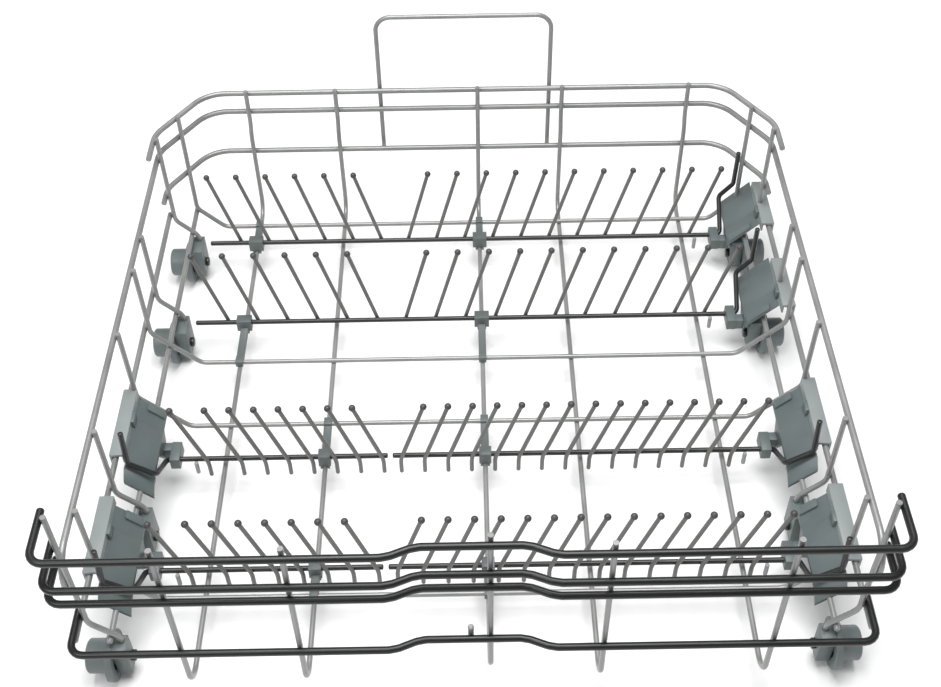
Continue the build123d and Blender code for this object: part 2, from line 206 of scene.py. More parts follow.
def wire_runs(node):
    """The middle and the size of each ring along each wire of a node, from end to end."""
    mesh = clean_copy(node)
    runs = []
    seen = set()
    for end in [face for face in mesh.faces if is_end(face)]:
        ring = [vert for vert in end.verts if vert not in seen]
        run = []
        while ring:
            seen.update(ring)
            middle = sum((vert.co for vert in ring), Vector()) / len(ring)
            run.append((middle, sum((vert.co - middle).length for vert in ring) / len(ring)))
            near = {edge.other_vert(vert) for vert in ring for edge in vert.link_edges}
            ring = sorted(near - seen, key=lambda vert: vert.index)
        if run:
            runs.append(run)
    mesh.free()
    return runs


def middles(run):
    """The line along the middle of a run."""
    return [middle for middle, size in run]


def round_ratio(sides):
    """Radius of round wire over the corner radius of a regular section with the same area."""
    return math.sqrt(sides * math.sin(math.tau / sides) / math.tau)


def plain_end(row):
    """The end of a row's bar that has no crank, on its hinge line."""
    line = middles(wire_runs(f"tine_bar_{row}")[0])
    return min(line[0], line[-1], key=lambda point: point.z)


def tight_line(points, straight):
    """The line with each tight turn drawn out to the corner where its two straights would meet."""
    line = [points[0]]
    last = None
    for start, end in zip(points, points[1:]):
        if (end - start).length > straight:
            if last and (last[1] - last[0]).angle(end - start) > END_ANGLE:
                while line[-1] != last[1]:
                    line.pop()
                line[-1] = intersect_line_line(*last, start, end)[0]
            last = (start, end)
        line.append(end)
    return line


# Geometry Nodes trees
class Tree:
    """A geometry node tree in the making."""

    SIZES = {
        "Wire Radius": "NodeSocketFloat",
        "Bend Radius": "NodeSocketFloat",
        "Bend Steps": "NodeSocketInt",
        "Sides": "NodeSocketInt",
        "Material": "NodeSocketMaterial",
    }

    def __init__(self, name, more=()):
        self.group = bpy.data.node_groups.new(name, "GeometryNodeTree")
        self.group.interface.new_socket("Geometry", in_out="OUTPUT", socket_type="NodeSocketGeometry")
        self.inputs = self.group.nodes.new("NodeGroupInput").outputs
        self.identifiers = {}
        for socket, kind in (("Geometry", "NodeSocketGeometry"), *self.SIZES.items(), *more):
            made = self.group.interface.new_socket(socket, in_out="INPUT", socket_type=kind)
            self.identifiers[socket] = made.identifier

    def node(self, kind, links, **settings):
        """Adds a node with its settings, and links or sets its inputs."""
        node = self.group.nodes.new(kind)
        for name, value in settings.items():
            setattr(node, name, value)
        for socket, source in links.items():
            if hasattr(source, "is_output"):
                self.group.links.new(source, node.inputs[socket])
            else:
                node.inputs[socket].default_value = source
        return node.outputs

    def marked(self, name):
        """A mark kept on the points."""
        return self.node("GeometryNodeInputNamedAttribute", {"Name": name}, data_type="BOOLEAN")["Attribute"]

    def coat(self, shape, material, selection=True):
        """Gives the material of an input to the selected faces."""
        links = {"Geometry": shape, "Material": self.inputs[material], "Selection": selection}
        return self.node("GeometryNodeSetMaterial", links)["Geometry"]

    def finish(self, shape, marks=()):
        """Ends the tree with real geometry that carries its materials."""
        real = self.node("GeometryNodeRealizeInstances", {"Geometry": shape})
        coated = self.coat(real["Geometry"], "Material")
        for mark, material in marks:
            coated = self.coat(coated, material, self.marked(mark))
        self.node("NodeGroupOutput", {"Geometry": coated})
        return self

    def smooth_sides(self, shape):
        """Shades smooth all but the many-sided end faces."""
        corners = self.node("GeometryNodeInputMeshFaceNeighbors", {})["Vertex Count"]
        whole_numbers = {2: corners, 3: SIDE_CORNERS}
        few = self.node("FunctionNodeCompare", whole_numbers, data_type="INT", operation="LESS_EQUAL")
        links = {"Geometry": shape, "Selection": few["Result"]}
        return self.node("GeometryNodeSetShadeSmooth", links)["Geometry"]

    def tube(self):
        """Round wire along the edges, with eased bends."""
        path = self.node("GeometryNodeMeshToCurve", {"Mesh": self.inputs["Geometry"]})
        bend = {
            "Curve": path["Curve"],
            "Count": self.inputs["Bend Steps"],
            "Radius": self.inputs["Bend Radius"],
            "Limit Radius": True,
        }
        eased = self.node("GeometryNodeFilletCurve", bend, mode="POLY")
        section = {"Resolution": self.inputs["Sides"], "Radius": self.inputs["Wire Radius"]}
        ring = self.node("GeometryNodeCurvePrimitiveCircle", section, mode="RADIUS")
        sweep = {"Curve": eased["Curve"], "Profile Curve": ring["Curve"], "Fill Caps": True}
        return self.smooth_sides(self.node("GeometryNodeCurveToMesh", sweep)["Mesh"])

    def balls(self):
        """A marked ball on each point that is marked as a tip."""
        tips = {"Mesh": self.inputs["Geometry"], "Selection": self.marked("tip")}
        points = self.node("GeometryNodeMeshToPoints", tips)
        sizes = {"Segments": BALL_SEGMENTS, "Rings": BALL_RINGS, "Radius": self.inputs["Ball Radius"]}
        ball = self.node("GeometryNodeMeshUVSphere", sizes)
        smooth = self.node("GeometryNodeSetShadeSmooth", {"Geometry": ball["Mesh"]})
        mark = {"Geometry": smooth["Geometry"], "Name": "ball", "Value": True}
        marked = self.node("GeometryNodeStoreNamedAttribute", mark, data_type="BOOLEAN")
        spread = {"Points": points["Points"], "Instance": marked["Geometry"]}
        return self.node("GeometryNodeInstanceOnPoints", spread)["Instances"]


def wire_tree():
    """Coated wire along every edge."""
    tree = Tree("Coated wire")
    return tree.finish(tree.tube())


def tine_tree():
    """Coated wire along every edge, with a ball on each tip and paler stop pins."""
    more = {
        "Ball Radius": "NodeSocketFloat",
        "Pin Material": "NodeSocketMaterial",
        "Ball Material": "NodeSocketMaterial",
    }
    tree = Tree("Ball-tipped tines", more.items())
    shafts = tree.tube()
    balls = tree.balls()
    both = tree.group.nodes.new("GeometryNodeJoinGeometry")
    for shape in (shafts, balls):
        tree.group.links.new(shape, both.inputs["Geometry"])
    marks = (("pin", "Pin Material"), ("ball", "Ball Material"))
    return tree.finish(both.outputs["Geometry"], marks)


# Pieces
def line_mesh(name, lines):
    """Edges along each line of points."""
    points = []
    edges = []
    for line in lines:
        first = len(points)
        points.extend(line)
        edges.extend((i, i + 1) for i in range(first, len(points) - 1))
    mesh = bpy.data.meshes.new(name)
    mesh.from_pydata(points, edges, [])
    return mesh


def as_mesh(name, form):
    """Turns a worked form into a mesh."""
    mesh = bpy.data.meshes.new(name)
    form.to_mesh(mesh)
    form.free()
    return mesh


def shown(name, mesh):
    """An object for a mesh, in the scene."""
    piece = bpy.data.objects.new(name, mesh)
    bpy.context.scene.collection.objects.link(piece)
    return piece


def placed(name, mesh):
    """An object that a piece is worked out from."""
    return shown(f"{name}_maker", mesh)


def finished(name, maker):
    """A plain mesh piece from an object with its modifiers worked out."""
    depsgraph = bpy.context.evaluated_depsgraph_get()
    mesh = bpy.data.meshes.new_from_object(maker.evaluated_get(depsgraph))
    mesh.name = name
    bpy.data.objects.remove(maker)
    return shown(name, mesh)


def add_bevel(maker, width, angle):
    """Rounds the edges that are sharper than an angle."""
    bevel = maker.modifiers.new("Rounded edges", "BEVEL")
    bevel.width = width
    bevel.segments = EDGE_STEPS
    bevel.limit_method = "ANGLE"
    bevel.angle_limit = angle


def soften(piece):
    """Shades a piece smooth up to its sharp edges."""
    piece.data.shade_smooth()
    piece.data.set_sharp_from_angle(angle=SMOOTH_ANGLE)


def dress(piece, body, node):
    """The piece moves with a body and stands for a node."""
    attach(piece, body)
    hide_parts(node)


def grown(name, mesh, tree, values, end_round):
    """Runs a tree on a mesh of lines and rounds the cut ends."""
    maker = placed(name, mesh)
    growth = maker.modifiers.new("Growth", "NODES")
    growth.node_group = tree.group
    for key, value in values.items():
        growth[tree.identifiers[key]] = value
    add_bevel(maker, end_round, END_ANGLE)
    return finished(name, maker)


def wire_values(wire, radius, bend, material):
    """Values for the inputs that every wire has."""
    return {
        "Wire Radius": radius,
        "Bend Radius": bend,
        "Bend Steps": wire.bend_steps,
        "Sides": wire.sides,
        "Material": material,
    }


class WireCoat:
    """Dresses wires in one coat, with round sections and eased bends."""

    def __init__(self, wire, slot, material, bend, ratio=1):
        self.wire = wire
        self.slot = slot
        self.material = material
        self.bend = bend
        self.ratio = ratio
        self.tree = wire_tree()

    def cover(self, node, body, line=None):
        """Replaces a node of wires by round wire, along its own lines or a given one."""
        runs = wire_runs(node)
        radius = runs[0][0][1] * self.ratio
        lines = [line] if line else [middles(run) for run in runs]
        values = wire_values(self.wire, radius, self.bend, self.material)
        end_round = radius * self.wire.end_round
        piece = grown(f"{node}_coated", line_mesh(node, lines), self.tree, values, end_round)
        dress(piece, body, node)


def moulded(node, material, edge):
    """Replaces a moulded node of the frame by a copy with rounded edges."""
    mesh = as_mesh(node, clean_copy(node))
    mesh.materials.clear()
    mesh.materials.append(material)
    maker = placed(node, mesh)
    add_bevel(maker, edge, SMOOTH_ANGLE)
    piece = finished(f"{node}_moulded", maker)
    soften(piece)
    dress(piece, BODY, node)


def oblong(first, second):
    """Outline of a rectangle over two spans."""
    return [(first[0], second[0]), (first[1], second[0]), (first[1], second[1]), (first[0], second[1])]


def prism(outline, ends, place, edge):
    """A closed form with rounded edges: the outline at two ends, each point set by its place."""
    form = bmesh.new()
    near, far = [[form.verts.new(place(end, *point)) for point in outline] for end in ends]
    form.faces.new(near)
    form.faces.new(far)
    for i in range(len(outline)):
        form.faces.new((near[i - 1], near[i], far[i], far[i - 1]))
    bmesh.ops.recalc_face_normals(form, faces=form.faces)
    bmesh.ops.bevel(
        form,
        geom=[side for side in form.edges if side.calc_face_angle(0) > SMOOTH_ANGLE],
        offset=edge,
        segments=EDGE_STEPS,
        profile=EDGE_PROFILE,
        affect="EDGES",
        clamp_overlap=True,
    )
    return as_mesh("form", form)


def rod_form(ends, y, z, radius):
    """A round bar along X."""
    form = bmesh.new()
    bmesh.ops.create_cone(
        form,
        cap_ends=True,
        segments=BORE_STEPS,
        radius1=radius,
        radius2=radius,
        depth=abs(ends[1] - ends[0]),
        matrix=Matrix.Translation((sum(ends) / 2, y, z)) @ Matrix.Rotation(math.pi / 2, 4, "Y"),
    )
    return as_mesh("rod", form)


def joined(name, forms, bore):
    """One solid from forms that overlap, less a bore."""
    maker = placed(name, forms[0])
    others = [placed(name, mesh) for mesh in forms[1:] + [bore]]
    for other in others:
        join = maker.modifiers.new("Join", "BOOLEAN")
        join.object = other
        join.operation = "DIFFERENCE" if other is others[-1] else "UNION"
        join.solver = "EXACT"
    piece = finished(name, maker)
    for other in others:
        bpy.data.objects.remove(other)
    return piece


class Bracket:
    """One hinge bracket, measured out to its side, ahead of its hinge line and up from the floor."""

    def __init__(self, place, form, edge):
        row, side = place.split("_")
        self.form = form
        self.edge = edge
        self.front = place in FRONT_BRACKETS
        self.hinge = plain_end(place if self.front else row)
        self.out = -1 if side == "left" else 1
        self.ahead = 1 if self.front else -1
        self.inner = self.own("inner")
        bearing_end = self.inner - form.bearing_gap
        self.bearing_x = (bearing_end - form.bearing, bearing_end)
        self.bearing_z = [self.hinge.z + z for z in form.bearing_z]

    def own(self, name):
        """A size that the front and the rear brackets each have for themselves."""
        return getattr(self.form, f"front_{name}" if self.front else f"rear_{name}")

    def slope(self, x):
        """Height of the shell's underside."""
        return x - self.form.slope_foot + self.form.seat

    def across(self, x, y, z):
        """Point of a form whose outline is a side view."""
        return Vector((self.out * x, self.hinge.y + self.ahead * y, z))

    def along(self, y, x, z):
        """Point of a form whose outline is a front view."""
        return self.across(x, y, z)

    def on_slope(self, x, y, rise):
        """Point of a form that lies on the sloped wires."""
        return self.across(x, y, self.slope(x) + rise)

    def moulding(self, name):
        """All forms as one moulding, with the bore for the bar."""
        forms = [
            self.shell(),
            self.cap(),
            self.hood(),
            self.cover(),
            self.saddle(),
            self.bearing(),
            self.rib(),
            self.cheek(),
        ]
        return joined(name, forms, self.bore())

    def shell(self):
        """Stepped shell on the wires."""
        form = self.form
        low = form.skin - form.step
        start, end = self.own("cap_y")
        step = start - form.step_back
        outline = [(end, 0), (end, low), (step + form.step, low), (step, form.skin)]
        outline += self.groove() if self.front else self.square_end()
        return prism(outline, (self.inner, form.outer), self.on_slope, self.edge)

    def groove(self):
        """Side view of a front shell's groove for the crank and the skirt past it."""
        form = self.form
        far, near = form.groove_y
        under = form.groove - form.skin
        return [
            (near, form.skin),
            (near, form.groove),
            (far, form.groove),
            (far, form.skin / 2),
            (form.skirt_y, -form.skirt_drop),
            (form.skirt_y, -form.skirt_drop - form.skin),
            (far, under),
            (near, under),
            (near + form.skin, 0),
        ]

    def square_end(self):
        """Side view of a rear shell's end."""
        return [(self.form.rear_end, self.form.skin), (self.form.rear_end, 0)]

    def cap(self):
        """Rounded cap along the shell's edge."""
        form = self.form
        start, end = self.own("cap_y")
        outline = oblong((start, end - form.lap), (form.lap, form.skin - form.step + form.cap))
        return prism(outline, (self.inner + form.lap, form.cap_x), self.on_slope, form.cap_round)

    def hood(self):
        """Rib under the cover's top."""
        form = self.form
        under, top = form.hood_z
        x = (form.outer - top + under, form.cover_x[1] - form.lap)
        z = (self.slope(form.outer) + form.lap, top - form.lap)
        return prism(oblong(x, z), self.own("hood_y"), self.along, self.edge)

    def cover(self):
        """Cover over the middle rail: inner wall, top and outer strip."""
        form = self.form
        foot = self.slope(form.outer)
        inner, wall = form.cover_x
        strip, outer = form.strip_x
        under, top = form.hood_z
        outline = [
            (inner, foot),
            (inner, top),
            (outer, top),
            (outer, form.strip_foot),
            (strip, form.strip_foot),
            (strip, under),
            (wall, under),
            (wall, foot),
        ]
        return prism(outline, self.own("cover_y"), self.along, self.edge)

    def saddle(self):
        """Foot on the ledge rail."""
        form = self.form
        z = (form.saddle_foot, self.slope(form.saddle_x[0]) + form.skin / 2)
        return prism(oblong(self.own("saddle_y"), z), form.saddle_x, self.across, self.edge)

    def bearing(self):
        """Bearing block on the bar."""
        y = (self.form.bearing_y, self.form.rib_y[1])
        return prism(oblong(y, self.bearing_z), self.bearing_x, self.across, self.edge)

    def rib(self):
        """Rib from the bearing to the cheek."""
        form = self.form
        x = (self.bearing_x[0] + form.lap, self.inner + form.cheek - form.lap)
        y = (form.rib_y[0], form.rib_y[1] - form.lap)
        z = (self.bearing_z[0] + form.lap, self.hinge.z + form.rib_rise)
        return prism(oblong(y, z), x, self.across, self.edge)

    def cheek(self):
        """Wall under the shell's inner side."""
        form = self.form
        foot = self.bearing_z[0]
        top = self.slope(self.inner) + form.skin / 2
        outline = [(y, foot) for y in form.rib_y] + [(y, top) for y in reversed(form.cheek_y)]
        return prism(outline, (self.inner + form.lap, self.inner + form.cheek), self.across, self.edge)

    def bore(self):
        """The bar's room in the bearing."""
        radius = self.form.bore
        ends = (self.out * (self.bearing_x[0] - radius), self.out * (self.bearing_x[1] + radius))
        return rod_form(ends, self.hinge.y, self.hinge.z, radius)


# Kinds of settings
def length(name, description, default):
    return FloatProperty(name=name, description=description, unit="LENGTH", default=default)


def span(name, description, default):
    return FloatVectorProperty(name=name, description=description, size=2, unit="LENGTH", default=default)


def spot(name, description, default):
    return FloatVectorProperty(name=name, description=description, unit="LENGTH", default=default)


def turn(name, description, default):
    return FloatProperty(name=name, description=description, unit="ROTATION", default=default)


def watts(name, description, default):
    return FloatProperty(name=name, description=description, unit="POWER", default=default)


def tint(name, description, default):
    return FloatVectorProperty(name=name, description=description, subtype="COLOR", default=default)


def share(name, description, default):
    return FloatProperty(name=name, description=description, subtype="FACTOR", default=default)


def count(name, description, default, least):
    return IntProperty(name=name, description=description, default=default, min=least)


class WireSettings(bpy.types.PropertyGroup):
    """Coated wire of the frame."""

    colour: tint("Frame Colour", "Nylon coat of the frame", (0.27, 0.275, 0.27))
    roughness: share("Frame Roughness", "Roughness of the frame's coat", 0.36)
    front_colour: tint("Front Colour", "Nylon coat of the front rails", (0.013, 0.014, 0.0135))
    front_roughness: share("Front Roughness", "Roughness of the front rails' coat", 0.34)
    metallic: share("Metallic", "Metal that shows through the coat", 0.35)
    bend_radius: length("Bend Radius", "Largest radius that eases a bend", 0.03)
    front_bend: length("Front Bend", "Bends at the corners of the front rails", 0.009)
    straight: length("Straight", "Least length of a straight part of a front rail", 0.015)
    bend_steps: count("Bend Steps", "Points in each eased corner", 5, 1)
    sides: count("Sides", "Sides of a wire's section", 20, 6)
    end_round: share("End Rounding", "Rounding of a cut end over the wire's radius", 0.45)


class TineSettings(bpy.types.PropertyGroup):
    """Folding rows of tines."""

    colour: tint("Tine Colour", "Nylon coat of the tines", (0.125, 0.126, 0.12))
    roughness: share("Tine Roughness", "Roughness of the tines' coat", 0.4)
    bar_colour: tint("Bar Colour", "Nylon coat of the bars and cranks", (0.015, 0.0155, 0.0155))
    bar_roughness: share("Bar Roughness", "Roughness of the bars' coat", 0.38)
    ball_colour: tint("Ball Colour", "Nylon balls on the tips", (0.05, 0.051, 0.05))
    ball_roughness: share("Ball Roughness", "Roughness of the balls", 0.45)
    pin_colour: tint("Pin Colour", "Stop pins under the bars", (0.3, 0.31, 0.31))
    pin_roughness: share("Pin Roughness", "Roughness of the stop pins", 0.4)
    bar_bend: length("Bar Bend", "Bends of the cranks", 0.005)
    crank_x: length("Crank Place", "Where a front bar turns off its hinge line", 0.2274)
    crank: span("Crank", "Back and up from the hinge line to the bracket's groove", (-0.03, 0.0206))
    arm_x: length("Arm Place", "Outer end of the crank in its groove", 0.2456)
    arm_rise: length("Arm Rise", "Height of that end over the hinge line", 0.0334)
    arm_tip: span("Arm Tip", "End of the arm from the hinge line", (-0.026, 0.063))
    ball_ratio: share("Ball Ratio", "Least size of a ball over the shaft", 1.3)


class PlasticSettings(bpy.types.PropertyGroup):
    """Moulded brackets, clips, holders and rollers."""

    colour: tint("Bracket Colour", "Moulded brackets and holders", (0.115, 0.14, 0.141))
    clip_colour: tint("Clip Colour", "Clips on the floor wires", (0.105, 0.122, 0.123))
    roughness: share("Plastic Roughness", "Roughness of brackets, holders and clips", 0.45)
    strip_colour: tint("Strip Colour", "Outer strips of the brackets", (0.25, 0.275, 0.275))
    strip_roughness: share("Strip Roughness", "Roughness of the outer strips", 0.42)
    strip_width: length("Strip Width", "Paler outer side of a bracket", 0.0106)
    roller_colour: tint("Roller Colour", "Rollers", (0.125, 0.148, 0.15))
    roller_roughness: share("Roller Roughness", "Roughness of the rollers", 0.42)
    screw_colour: tint("Screw Colour", "Axle screw heads", (0.015, 0.016, 0.016))
    screw_roughness: share("Screw Roughness", "Roughness of the screw heads", 0.35)
    edge: length("Edge Rounding", "Rounding of moulded edges", 0.0006)


class BracketSettings(bpy.types.PropertyGroup):
    """Hinge brackets on the sloped side wires, in depths from the hinge line and heights from the floor."""

    slope_foot: length("Slope Foot", "Where the sloped wires would meet the floor", 0.19141)
    seat: length("Seat", "From the middle of the wires to the shell", 0.0028)
    rear_inner: length("Rear Inner Side", "Inner side of a rear shell", 0.2246)
    front_inner: length("Front Inner Side", "Inner side of a front shell", 0.23)
    outer: length("Outer Side", "Outer side of a shell", 0.2482)
    lap: length("Lap", "How far a form ends inside the one it joins", 0.0003)
    skin: length("Skin", "Height of the shell over its seat", 0.0031)
    step_back: length("Step Place", "From the cap to the step in the shell", 0.013)
    step: length("Step", "Fall of the step", 0.0013)
    rear_cap_y: span("Rear Cap", "Rounded cap of a rear shell", (0.0155, 0.023))
    front_cap_y: span("Front Cap", "Rounded cap of a front shell", (0.0255, 0.033))
    cap: length("Cap Rise", "Rise of the cap", 0.003)
    cap_x: length("Cap Reach", "Outer end of the cap, clear of the folded crank", 0.241)
    cap_round: length("Cap Rounding", "Rounding of the cap's edges", 0.001)
    groove_y: span("Groove", "Groove under the crank", (-0.0328, -0.0272))
    groove: length("Groove Floor", "Height of the groove's floor", 0.0006)
    skirt_y: length("Skirt End", "End of the skirt past the groove", -0.0405)
    skirt_drop: length("Skirt Drop", "Fall of the skirt", 0.005)
    rear_end: length("Rear Shell End", "Plain end of a rear shell", -0.031)
    hood_z: span("Hood", "Underside and top of the hood over the middle rail", (0.06572, 0.06822))
    rear_hood_y: span("Rear Hood", "Depth of a rear hood", (0.0065, 0.016))
    front_hood_y: span("Front Hood", "Depth of a front hood", (0.004, 0.014))
    strip_x: span("Strip", "Outer strip beside the middle rail", (0.2565, 0.2584))
    strip_foot: length("Strip Foot", "Lower edge of the strip", 0.05)
    cover_x: span("Cover", "Inner wall of the cover over the middle rail", (0.248, 0.2495))
    rear_cover_y: span("Rear Cover", "Depth of a rear cover", (-0.024, 0.031))
    front_cover_y: span("Front Cover", "Depth of a front cover", (-0.027, 0.036))
    saddle_x: span("Saddle", "Foot on the ledge rail", (0.2352, 0.2424))
    saddle_foot: length("Saddle Foot", "Lower edge of the saddle", 0.0406)
    rear_saddle_y: span("Rear Saddle", "Depth of a rear saddle", (-0.02, -0.001))
    front_saddle_y: span("Front Saddle", "Depth of a front saddle", (-0.015, 0.012))
    bearing: length("Bearing Length", "Bearing block along the bar", 0.0075)
    bearing_gap: length("Bearing Gap", "From the bearing to the shell's inner side", 0.0052)
    bearing_y: length("Bearing Front", "Bearing block past the bar", -0.005)
    bearing_z: span("Bearing Height", "Bearing block from the hinge line", (-0.0055, 0.005))
    bore: length("Bearing Bore", "Radius of the bore on the bar", 0.00205)
    rib_y: span("Rib", "Rib from the bearing to the shell", (0.005, 0.013))
    rib_rise: length("Rib Rise", "Top of the rib over the hinge line", 0.0045)
    cheek: length("Cheek", "Wall of the cheek under the shell", 0.0024)
    cheek_y: span("Cheek Depth", "Top of the cheek", (-0.008, 0.02))


class RollerSettings(bpy.types.PropertyGroup):
    """Turned form of a roller."""

    drum_radius: length("Drum Radius", "Running surface", 0.01175)
    flange_width: length("Flange Width", "Inner flange", 0.0045)
    drum_wall: length("Drum Wall", "Wall of the hollow drum", 0.002)
    cavity: length("Cavity Depth", "Depth of the hollow", 0.016)
    hub_radius: length("Hub Radius", "Hub on the axle", 0.006)
    bore_radius: length("Bore Radius", "Bore on the axle", 0.00305)
    bore_depth: length("Bore Depth", "Depth of the blind bore", 0.017)
    dish: length("End Dish", "Shallow dish in the outer face", 0.0008)
    chamfer: length("Chamfer", "Outer edge", 0.0012)
    edge: length("Edge Rounding", "Rounding of the edges", 0.0004)
    segments: count("Segments", "Steps round a roller", 64, 12)


class StageSettings(bpy.types.PropertyGroup):
    """Camera, floor and light."""

    camera_place: spot("Camera Place", "Where the camera stands", (0.0014, -0.6697, 0.791))
    camera_pitch: turn("Camera Pitch", "How far the camera looks down", math.radians(46.5))
    camera_roll: turn("Camera Roll", "Turn about the line of sight", math.radians(-1.0))
    lens: FloatProperty(name="Lens", description="Focal length in millimetres", default=49.58)
    floor_size: length("Floor Size", "Side of the floor", 6.0)
    floor_colour: tint("Floor Colour", "Pale floor", (0.9, 0.9, 0.9))
    floor_roughness: share("Floor Roughness", "Roughness of the floor", 0.8)
    sky: FloatProperty(name="Sky", description="Strength of the even light", default=0.35)
    top_place: spot("Top Place", "Where the overhead light hangs", (0, 0.05, 1.8))
    top_power: watts("Top Power", "Power of the overhead light", 38.0)
    top_size: length("Top Size", "Side of the overhead light", 1.2)
    key_place: spot("Key Place", "Where the key light stands", (-1.0, -0.9, 1.5))
    key_power: watts("Key Power", "Power of the key light", 11.0)
    key_size: length("Key Size", "Side of the key light", 0.9)


class BasketSettings(bpy.types.PropertyGroup):
    """All sizes and colours of the basket."""

    wire: PointerProperty(type=WireSettings)
    tine: PointerProperty(type=TineSettings)
    plastic: PointerProperty(type=PlasticSettings)
    bracket: PointerProperty(type=BracketSettings)
    roller: PointerProperty(type=RollerSettings)
    stage: PointerProperty(type=StageSettings)


class BASKET_OT_frame(bpy.types.Operator):
    """Coat the welded wires of the frame"""

    bl_idname = "basket.frame"
    bl_label = "Wire Frame"

    def execute(self, context):
        wire = context.scene.basket.wire
        material = nylon_coat("grey_nylon_coat", wire.colour, wire.roughness, wire.metallic)
        coat = WireCoat(wire, "coated_wire", material, wire.bend_radius, round_ratio(FRAME_SIDES))
        for node in GREY_WIRES:
            coat.cover(node, BODY)
        return {"FINISHED"}


class BASKET_OT_front_rails(bpy.types.Operator):
    """Coat the front rails"""

    bl_idname = "basket.front_rails"
    bl_label = "Front Rails"

    def execute(self, context):
        wire = context.scene.basket.wire
        material = nylon_coat("dark_grey_nylon_coat", wire.front_colour, wire.front_roughness, wire.metallic)
        coat = WireCoat(wire, "front_rail_coat", material, wire.front_bend, round_ratio(FRAME_SIDES))
        for node in FRONT_RAILS:
            line = middles(wire_runs(node)[0])
            coat.cover(node, BODY, tight_line(line, wire.straight))
        return {"FINISHED"}


class BASKET_OT_bars(bpy.types.Operator):
    """Coat the tine bars and their cranks"""

    bl_idname = "basket.bars"
    bl_label = "Tine Bars"

    def execute(self, context):
        settings = context.scene.basket
        tine = settings.tine
        material = nylon_coat("black_nylon_coat", tine.bar_colour, tine.bar_roughness)
        coat = WireCoat(settings.wire, "bar_coat", material, tine.bar_bend)
        for row in ROWS:
            line = self.cranked(row, tine) if row in FRONT_BRACKETS else None
            coat.cover(f"tine_bar_{row}", f"tine_row_{row}", line)
        return {"FINISHED"}

    def cranked(self, row, tine):
        """Line of a front bar, with its crank over the bracket and the arm at its end."""
        end = plain_end(row)
        side = -1 if row.endswith("left") else 1
        path = [
            (tine.crank_x, 0, 0),
            (tine.crank_x, *tine.crank),
            (tine.arm_x, tine.crank[0], tine.arm_rise),
            (tine.arm_x, *tine.arm_tip),
        ]
        return [end] + [Vector((side * x, end.y + y, end.z + z)) for x, y, z in path]


class BASKET_OT_tines(bpy.types.Operator):
    """Grow the ball-tipped tines of each row"""

    bl_idname = "basket.tines"
    bl_label = "Tines"

    def execute(self, context):
        settings = context.scene.basket
        tine = settings.tine
        materials = {
            "Material": nylon_coat("slate_nylon_coat", tine.colour, tine.roughness),
            "Pin Material": moulded_plastic("pin_plastic", tine.pin_colour, tine.pin_roughness),
            "Ball Material": nylon_coat("ball_nylon", tine.ball_colour, tine.ball_roughness),
        }
        tree = tine_tree()
        for row in ROWS:
            self.comb(row, settings, tree, materials)
        return {"FINISHED"}

    def comb(self, row, settings, tree, materials):
        """Replaces a row's tines and stop pins by coated wire with a ball on each tip."""
        node = f"tines_{row}"
        runs = [sorted(run, key=lambda ring: ring[0].z) for run in wire_runs(node)]
        shaft = runs[0][0][1]
        ball = shaft
        lines = []
        marks = {"tip": [], "pin": []}
        for run in runs:
            swell = [i for i, (middle, size) in enumerate(run) if size > shaft * settings.tine.ball_ratio]
            if swell:
                tip = swell[0]
                ball = run[tip][1]
                run = run[:tip - 1] + run[tip:tip + 1]
            lines.append(middles(run))
            marks["tip"] += [False] * (len(run) - 1) + [bool(swell)]
            marks["pin"] += [not swell] * len(run)
        mesh = line_mesh(node, lines)
        for mark, flags in marks.items():
            mesh.attributes.new(mark, "BOOLEAN", "POINT").data.foreach_set("value", flags)
        wire = settings.wire
        radius = shaft * round_ratio(TINE_SIDES)
        values = wire_values(wire, radius, wire.bend_radius, materials["Material"])
        values["Ball Radius"] = ball * round_ratio(TINE_SIDES)
        values.update(materials)
        piece = grown(f"{node}_coated", mesh, tree, values, radius * wire.end_round)
        dress(piece, f"tine_row_{row}", node)


class BASKET_OT_brackets(bpy.types.Operator):
    """Mould the hinge brackets"""

    bl_idname = "basket.brackets"
    bl_label = "Hinge Brackets"

    def execute(self, context):
        settings = context.scene.basket
        plastic = settings.plastic
        material = moulded_plastic("blue_grey_plastic", plastic.colour, plastic.roughness)
        pale = moulded_plastic("pale_grey_plastic", plastic.strip_colour, plastic.strip_roughness)
        for place in REAR_BRACKETS + FRONT_BRACKETS:
            node = f"hinge_bracket_{place}"
            piece = Bracket(place, settings.bracket, plastic.edge).moulding(f"{node}_moulded")
            self.colour(piece.data, material, pale, plastic.strip_width)
            soften(piece)
            dress(piece, BODY, node)
        return {"FINISHED"}

    def colour(self, mesh, material, pale, width):
        """Gives the outer side of a bracket the paler plastic."""
        mesh.materials.clear()
        mesh.materials.append(material)
        mesh.materials.append(pale)
        outer = max(abs(vert.co.x) for vert in mesh.vertices) - width
        for face in mesh.polygons:
            face.material_index = int(abs(face.center.x) > outer)


class BASKET_OT_clips(bpy.types.Operator):
    """Mould the clips that carry the bars on the floor wires"""

    bl_idname = "basket.clips"
    bl_label = "Bar Clips"

    def execute(self, context):
        plastic = context.scene.basket.plastic
        material = moulded_plastic("clip_plastic", plastic.clip_colour, plastic.roughness)
        for row in CLIP_ROWS:
            moulded(f"bar_clips_{row}", material, plastic.edge)
        return {"FINISHED"}


class BASKET_OT_holders(bpy.types.Operator):
    """Mould the roller holders and their screw heads"""

    bl_idname = "basket.holders"
    bl_label = "Roller Holders"

    def execute(self, context):
        plastic = context.scene.basket.plastic
        material = moulded_plastic("holder_plastic", plastic.colour, plastic.roughness)
        for side in SIDES:
            moulded(f"roller_holders_{side}", material, plastic.edge)
        dark = moulded_plastic("screw_plastic", plastic.screw_colour, plastic.screw_roughness)
        moulded("axle_screws", dark, plastic.edge)
        return {"FINISHED"}


